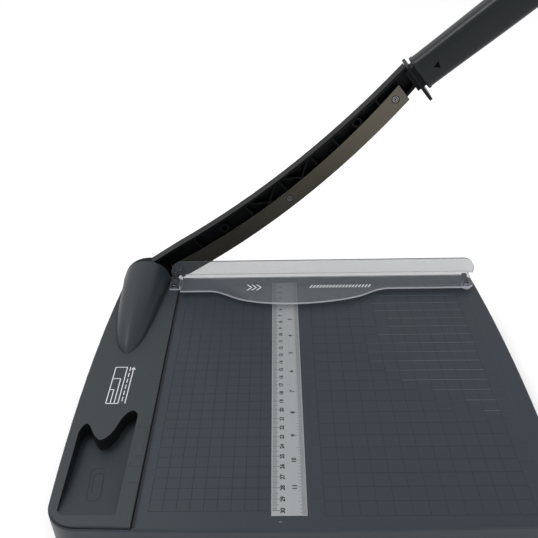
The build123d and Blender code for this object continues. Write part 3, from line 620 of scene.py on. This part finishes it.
# The generic sign in the place of the printed mark: sheet outlines, a dashed line and an arrow.
SIGN_X, SIGN_Y, SIGN_LINE = -162.0, -11.0, 0.8
DASH_PITCH, DASH_LENGTH = 7.6, 5.4
sign = [[(-8.0, -23.0), (-8.0, 23.0), (2.6, 23.0), (2.6, -23.0), (-7.6, -23.0)]]
sign += [[(-7.4, y), (x, y), (x, -22.4)] for x, y in ((-0.8, 8.0), (-4.2, -6.0))]
sign += [[(5.6, 23.0 - DASH_PITCH * k), (5.6, 23.0 - DASH_PITCH * k - DASH_LENGTH)] for k in range(6)]
sign += [[(8.6, -23.0), (8.6, 23.0)], [(7.0, 19.5), (8.6, 23.0), (10.2, 19.5)]]
placed_sign = [[(SIGN_X + x, SIGN_Y + y) for x, y in path] for path in sign]
piece("panel_sheet_sign", strokes("panel_sheet_sign", placed_sign, SIGN_LINE, PRINT_LIFT), "base",
      [print_ink])

# Painted shade: a dark strip in the groove along the panel's edge.
SEAM_SHADE = ((-126.3, -154.0, TABLE_Z - 0.9), (-124.6, 128.0, TABLE_Z - 0.45))
piece("panel_seam_painted_shade", bars("panel_seam_painted_shade", [SEAM_SHADE]), "base", [mark_and_shade_dark])

FRONT_MARK = ((-21.4, -151.0, TABLE_Z - 0.1), (-18.9, -150.7, TABLE_Z + 0.05))
piece("ruler_end_mark", bars("ruler_end_mark", [FRONT_MARK]), "base", [ruler_metal])


# ---------------------------------------------------------------- hinge cover

COVER_LENGTH, COVER_MOUTH_Y, COVER_MIDDLE_X = 124.0, 153.5, -162.4
COVER_R, COVER_HEIGHT, COVER_WALL, COVER_TIP = 24.8, 24.0, 2.2, 0.006
COVER_TUCK = 0.05  # the shell's foot lies this far inside the strip
WIDTH_POWER, HEIGHT_POWER = 0.37, 0.52  # how the section grows from the tip to the mouth
BLUNT_REACH, BLUNT_POWER = 0.06, 0.6  # rounding of the tip
LEAN, HOOK, HOOK_REACH = 2.6, 1.2, 0.12  # the middle line's lean, and its turn near the tip
ARCH_POWER, ARCH_GAIN, ARCH_REACH = 1.55, 0.5, 0.6  # pointed near the tip, round at the mouth
HOLLOW_REACH = 0.03  # the inside opens up over this share
COVER_RINGS, FIRST_RING, CROWDING = 48, 0.02, 2.4  # rings lie closer together near the tip


def cover_ring(share, steps=48):
    """Section of the cover: outside left to right over the top, then back along the inside."""
    taper = (1.0 - math.exp(-(share - COVER_TIP) / BLUNT_REACH)) ** BLUNT_POWER
    half = COVER_R * share ** WIDTH_POWER * taper
    height = COVER_HEIGHT * share ** HEIGHT_POWER * taper
    middle = COVER_MIDDLE_X - LEAN * math.sqrt(1.0 - share) + HOOK * math.exp(-share / HOOK_REACH)
    y = COVER_MOUTH_Y - COVER_LENGTH * (1.0 - share)
    power = 2 / (ARCH_POWER + ARCH_GAIN * min(1.0, share / ARCH_REACH))
    inner = min(1.0, (share - COVER_TIP) / HOLLOW_REACH)
    outside = (half, height, range(steps + 1))
    inside = (max(0.0, half - COVER_WALL) * inner, max(0.0, height - COVER_WALL) * inner,
              range(steps, -1, -1))
    ring = []
    for wide, tall, order in (outside, inside):
        for k in order:
            c, s = math.cos(math.pi * k / steps), math.sin(math.pi * k / steps)
            ring.append((middle - math.copysign(abs(c) ** power, c) * wide, y,
                         PANEL_Z - COVER_TUCK + abs(s) ** power * tall))
    return ring


def cover_share(i):
    """Where along the cover a ring lies: 0 at the tip, 1 at the mouth."""
    crowded = (FIRST_RING + (1.0 - FIRST_RING) * i / COVER_RINGS) ** CROWDING
    return COVER_TIP + (1.0 - COVER_TIP) * crowded


cover_rings = [cover_ring(cover_share(i)) for i in range(COVER_RINGS + 1)]
hump = piece("hinge_cover_shell", loft("hinge_cover_shell", cover_rings, cap_end=False), "base",
             [hump_plastic], 50)
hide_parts("hinge_cover")


# ---------------------------------------------------------------- handle grip

HANDLE_U, HANDLE_LENGTH = 358.2, 124.0
HANDLE_MID_V, HANDLE_MID_Y = 3.5, 171.0
HALF_TALL, HALF_WIDE = 16.5, 13.5
GRIP_SQUARE = 0.64  # power of the rounded section: lower is squarer
LIP_HALF, LIP_END, NECK_END, SWELL_LENGTH = 1.6, 3.2, 7.0, 90.0
LIP_SHRINK, GROOVE_SHRINK, NECK_SHRINK, BODY_SHRINK = 0.1, 0.7, 0.9, 0.2
END_ROUND, END_FLAT, END_TIP = 11.0, 0.38, 0.30  # rounded length, and the end's share of the section


def arm_point(u, y, v):
    """A point given along and across the arm, in the row frame."""
    c, s = math.cos(ARM_ANGLE), math.sin(ARM_ANGLE)
    return (PIVOT_X + u * c - v * s, y, PIVOT_Z + u * s + v * c)


def grip_shrink(u):
    """How much smaller than its largest section the grip is, at a distance from its front."""
    if u < LIP_END:
        bulge = math.sqrt(max(0.0, 1.0 - ((u - LIP_HALF) / LIP_HALF) ** 2))
        return LIP_SHRINK + (GROOVE_SHRINK - LIP_SHRINK) * (1.0 - bulge)
    if u < NECK_END:
        along = (u - LIP_END) / (NECK_END - LIP_END)
        return GROOVE_SHRINK + (NECK_SHRINK - GROOVE_SHRINK) * math.sin(along * math.pi / 2)
    along = min(1.0, (u - NECK_END) / SWELL_LENGTH)
    return NECK_SHRINK - (NECK_SHRINK - BODY_SHRINK) * math.sin(along * math.pi / 2) ** 2


def grip_ring(u, steps=72):
    """Rounded section of the grip."""
    shrink = grip_shrink(u)
    end = HANDLE_LENGTH - u
    close = 1.0
    if end <= 0.01:
        close = END_TIP
    elif end <= END_ROUND:
        bulge = math.sqrt(max(0.0, 1.0 - ((END_ROUND - end) / END_ROUND) ** 2))
        close = bulge * (1.0 - END_FLAT) + END_FLAT
    ring = []
    for k in range(steps):
        t = 2 * math.pi * k / steps
        c, s = math.cos(t), math.sin(t)
        y = HANDLE_MID_Y + math.copysign(abs(c) ** GRIP_SQUARE, c) * (HALF_WIDE - shrink) * close
        v = HANDLE_MID_V + math.copysign(abs(s) ** GRIP_SQUARE, s) * (HALF_TALL - shrink) * close
        ring.append(arm_point(HANDLE_U + u, y, v))
    return ring


grip_places = [0.0, 0.4, 0.9, LIP_HALF, 2.3, 2.8, LIP_END, 4.0, 5.0, 6.0, NECK_END]
grip_places += [NECK_END + (HANDLE_LENGTH - END_ROUND - NECK_END) * i / 24 for i in range(1, 25)]
grip_places += [HANDLE_LENGTH - END_ROUND * (1 - math.sin(math.pi / 2 * i / 10)) for i in range(1, 11)]
grip_mesh = loft("handle_shell", [grip_ring(u) for u in grip_places])


def prism(name, outline, near_y, far_y):
    """An upright plate from an outline in arm coordinates."""
    near = [arm_point(u, near_y, v) for u, v in outline]
    far = [arm_point(u, far_y, v) for u, v in outline]
    return loft(name, [near, far])


grip = piece("handle_shell", grip_mesh, "arm", [grip_plastic], 40)
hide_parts("handle_grip")

# Painted shade: the catch hole is a black solid set into the grip's near face, not a real hole.
CATCH_U, CATCH_V, CATCH_R = 375.7, 3.7, 3.8
CATCH_ANGLES = (-75.0, 45.0, 165.0)
GRIP_NEAR_Y = HANDLE_MID_Y - HALF_WIDE
CATCH_NEAR_Y, CATCH_FAR_Y = GRIP_NEAR_Y + 0.55, GRIP_NEAR_Y + 3.0
catch = [(CATCH_U + CATCH_R * math.cos(math.radians(a)), CATCH_V + CATCH_R * math.sin(math.radians(a)))
         for a in CATCH_ANGLES]
piece("grip_catch_painted_shade", prism("grip_catch_painted_shade", catch, CATCH_NEAR_Y, CATCH_FAR_Y), "arm",
      [hole_shade_black])


# ---------------------------------------------------------------- blade screws

BLADE_NEAR_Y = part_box("arm_blade")[0].y / MM
BLADE_SCREWS = ((40.5, -3.0), (187.7, -14.8), (328.7, 1.7))
# A head's section as (radius, depth from the blade's near face), and its bands in the recesses, which
# carry painted shade.
HEAD = ((0.75, 0.75), (0.75, 0.65), (0.8, 0.12), (1.0, 0.06), (1.35, 0.10), (1.45, 0.7), (2.05, 0.7),
        (2.1, 0.10), (2.25, 0.05), (2.75, 0.08), (2.9, 0.25), (2.9, 1.05), (1.45, 1.05), (1.45, 9.0))
HEAD_SHADED = (0, 1, 4, 5, 6)
# Painted shadow: a dark ring on the blade around each head.
SHADOW = ((2.95, 0.02), (2.95, -0.03), (3.9, -0.03), (3.9, 0.02))
ROUND = 40


def turned_rings(centre, profile):
    """Rings of points about an axis along Y, one for each (radius, depth) of a profile."""
    x, _, z = arm_point(centre[0], 0.0, centre[1])
    angles = [2 * math.pi * k / ROUND for k in range(ROUND)]
    return [[(x + radius * math.cos(a), BLADE_NEAR_Y + depth, z + radius * math.sin(a)) for a in angles]
            for radius, depth in profile]


def lathe(name, centres, profile, dark):
    """Turned shapes with axes along Y, with the bands of the profile that carry painted shade."""
    work = bmesh.new()
    for centre in centres:
        rings = [[work.verts.new(metres(p)) for p in ring]
                 for ring in turned_rings(centre, profile)]
        for i, (first, second) in enumerate(zip(rings, rings[1:])):
            for k in range(ROUND):
                following = (k + 1) % ROUND
                side = work.faces.new((first[k], first[following], second[following], second[k]))
                side.material_index = 1 if i in dark else 0
        # The floor of the drive recess carries painted shade too.
        work.faces.new(rings[0]).material_index = 1
        work.faces.new(rings[-1][::-1])
    bmesh.ops.recalc_face_normals(work, faces=work.faces)
    mesh = bpy.data.meshes.new(name)
    work.to_mesh(mesh)
    work.free()
    return mesh


screws = piece("blade_screw_heads", lathe("blade_screw_heads", BLADE_SCREWS, HEAD, HEAD_SHADED), "arm",
               [screw_steel, mark_and_shade_dark], 35)
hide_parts("blade_screws")
shadow_rings = []
for centre in BLADE_SCREWS:
    points = [p for ring in turned_rings(centre, SHADOW) for p in ring]
    faces = []
    for i in range(len(SHADOW)):
        a, b = ROUND * i, ROUND * ((i + 1) % len(SHADOW))
        faces += [(a + k, a + (k + 1) % ROUND, b + (k + 1) % ROUND, b + k) for k in range(ROUND)]
    shadow_rings.append((points, faces))
piece("blade_screw_rings", tidy_normals(mesh_of_all("blade_screw_rings", shadow_rings)), "arm",
      [mark_and_shade_dark])


# ---------------------------------------------------------------- finger guard

guard = bpy.data.objects.new("guard_sheet", NODES["finger_guard"].data.copy())
bpy.context.scene.collection.objects.link(guard)
guard.data.materials.clear()
for material in (clear_sheet, clear_edge_highlight, clear_rim):
    guard.data.materials.append(material)
SHIELD_NEAR_Y = 154.5
FLANGE_SLACK, SHIELD_SLACK = 0.05, 0.3
SHEET, FLANGE_EDGE, SHIELD_RIM = range(3)
for face in guard.data.polygons:
    top = max(guard.data.vertices[v].co.z / MM for v in face.vertices)
    far = max(guard.data.vertices[v].co.y / MM for v in face.vertices)
    standing = abs(face.normal.z) < 0.5
    at_the_edge = far < SHIELD_NEAR_Y - SHIELD_SLACK or abs(face.normal.x) > 0.5
    # The flange's outer edges take the painted highlight.
    if standing and top < GUARD_TOP_Z + FLANGE_SLACK and at_the_edge:
        face.material_index = FLANGE_EDGE
    elif top > GUARD_TOP_Z + SHIELD_SLACK and abs(face.normal.y) < 0.5:
        face.material_index = SHIELD_RIM
    else:
        face.material_index = SHEET
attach(guard, "base")
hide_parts("finger_guard")

# A bead along the bend from shield to flange, in the painted highlight of the edges.
BEND_START_X, BEND_END_X, BEND_R, BEND_STEPS, BEND_TUCK = -121.5, 189.0, 0.6, 6, 0.05
bend = []
for x in (BEND_START_X, BEND_END_X):
    ring = [(x, SHIELD_NEAR_Y + BEND_TUCK, GUARD_TOP_Z - BEND_TUCK)]
    for k in range(BEND_STEPS + 1):
        a = math.radians(90.0 * k / BEND_STEPS)
        ring.append((x, SHIELD_NEAR_Y - BEND_R + BEND_R * math.sin(a),
                     GUARD_TOP_Z + BEND_R - BEND_R * math.cos(a)))
    bend.append(ring)
piece("guard_bend", loft("guard_bend", bend), "base", [clear_edge_highlight], 50)


GUARD_PRINT_SINK, GUARD_PRINT_RISE = 0.02, 0.05


def slanted_bar(x, y, run, rise, width):
    """A printed stroke on the guard's flange, from (x, y) over (run, rise), as points and faces."""
    low, high = GUARD_TOP_Z - GUARD_PRINT_SINK, GUARD_TOP_Z + GUARD_PRINT_RISE
    outline = ((x, y), (x + width, y), (x + width + run, y + rise), (x + run, y + rise))
    if rise < 0:
        outline = outline[::-1]
    points = [(px, py, z) for z in (low, high) for px, py in outline]
    return points, BOX_SIDES


# Plain hatching and chevrons in the place of the printed text and pictogram.
HATCH_X, HATCH_Y, HATCH_PITCH, HATCH_COUNT = 12.0, 127.0, 3.4, 19
HATCH_RUN, HATCH_RISE, HATCH_WIDTH = 3.0, 5.0, 1.3
CHEVRON_X, CHEVRON_Y, CHEVRON_PITCH, CHEVRON_COUNT = -54.0, 129.0, 5.0, 3
CHEVRON_RUN, CHEVRON_RISE, CHEVRON_WIDTH = 4.5, 5.0, 1.5
printed = [slanted_bar(HATCH_X + HATCH_PITCH * k, HATCH_Y, HATCH_RUN, HATCH_RISE, HATCH_WIDTH)
           for k in range(HATCH_COUNT)]
for k in range(CHEVRON_COUNT):
    for rise in (CHEVRON_RISE, -CHEVRON_RISE):
        printed.append(slanted_bar(CHEVRON_X + CHEVRON_PITCH * k, CHEVRON_Y - rise, CHEVRON_RUN, rise,
                                   CHEVRON_WIDTH))
piece("guard_printed_sign", mesh_of_all("guard_printed_sign", printed), "base",
      [print_ink])


# ---------------------------------------------------------------- stage, light and camera

FLOOR_HALF, PAPER_GLOW, SKY_STRENGTH = 30, 0.08, 0.84
WHITE = (1.0, 1.0, 1.0, 1.0)

floor_corners = [(x * FLOOR_HALF, y * FLOOR_HALF, 0) for x, y in ((-1, -1), (1, -1), (1, 1), (-1, 1))]
floor_mesh = bpy.data.meshes.new("floor")
floor_mesh.from_pydata(floor_corners, [], [(0, 1, 2, 3)])
floor = bpy.data.objects.new("floor", floor_mesh)
bpy.context.scene.collection.objects.link(floor)
paper = finish("floor_paper", tone(247, 247, 247), 0.9, specular=0.1, mottle=0.004, relief=0.0,
               edge=None)
glow = paper.node_tree.nodes["Principled BSDF"].inputs
glow["Emission Color"].default_value = WHITE
glow["Emission Strength"].default_value = PAPER_GLOW
floor_mesh.materials.append(paper)

world = bpy.data.worlds.new("studio")
world.use_nodes = True
sky = world.node_tree.nodes["Background"].inputs
sky["Color"].default_value = WHITE
sky["Strength"].default_value = SKY_STRENGTH
bpy.context.scene.world = world
bpy.context.scene.view_settings.view_transform = "Standard"


def softbox(name, place, aim, size, power):
    """A square area light that looks at a point."""
    light = bpy.data.lights.new(name, "AREA")
    light.shape = "SQUARE"
    light.size = size
    light.energy = power
    lamp = bpy.data.objects.new(name, light)
    bpy.context.scene.collection.objects.link(lamp)
    lamp.location = place
    lamp.rotation_euler = (Vector(aim) - Vector(place)).to_track_quat("-Z", "Y").to_euler()
    lamp.visible_camera = False


# Each: name, place, the point it looks at, side length, power in watts.
softbox("key", (-1.5, 0.9, 1.5), (0.0, 0.0, 0.05), 2.0, 3.0)
softbox("overhead", (-0.8, 0.3, 1.7), (0.05, 0.1, 0.1), 0.6, 11.0)
softbox("fill", (0.9, -1.3, 1.3), (0.0, 0.0, 0.05), 1.4, 7.0)

# The camera as it was solved from the printed scales: its place, and the picture's right and up.
CAMERA_PLACE, CAMERA_LENS, CAMERA_SENSOR = (-0.017567, -0.447166, 0.460834), 44.774, 36.0
CAMERA_RIGHT = Vector((0.99975483, 0.00727318, -0.02091362))
CAMERA_UP = Vector((0.01332919, 0.5565167, 0.8307295))

camera_data = bpy.data.cameras.new("camera")
camera_data.sensor_width = CAMERA_SENSOR
camera_data.lens = CAMERA_LENS
camera = bpy.data.objects.new("camera", camera_data)
bpy.context.scene.collection.objects.link(camera)
axes = Matrix((CAMERA_RIGHT, CAMERA_UP, CAMERA_RIGHT.cross(CAMERA_UP))).transposed()
camera.matrix_world = Matrix.Translation(CAMERA_PLACE) @ axes.to_4x4()
bpy.context.scene.camera = camera
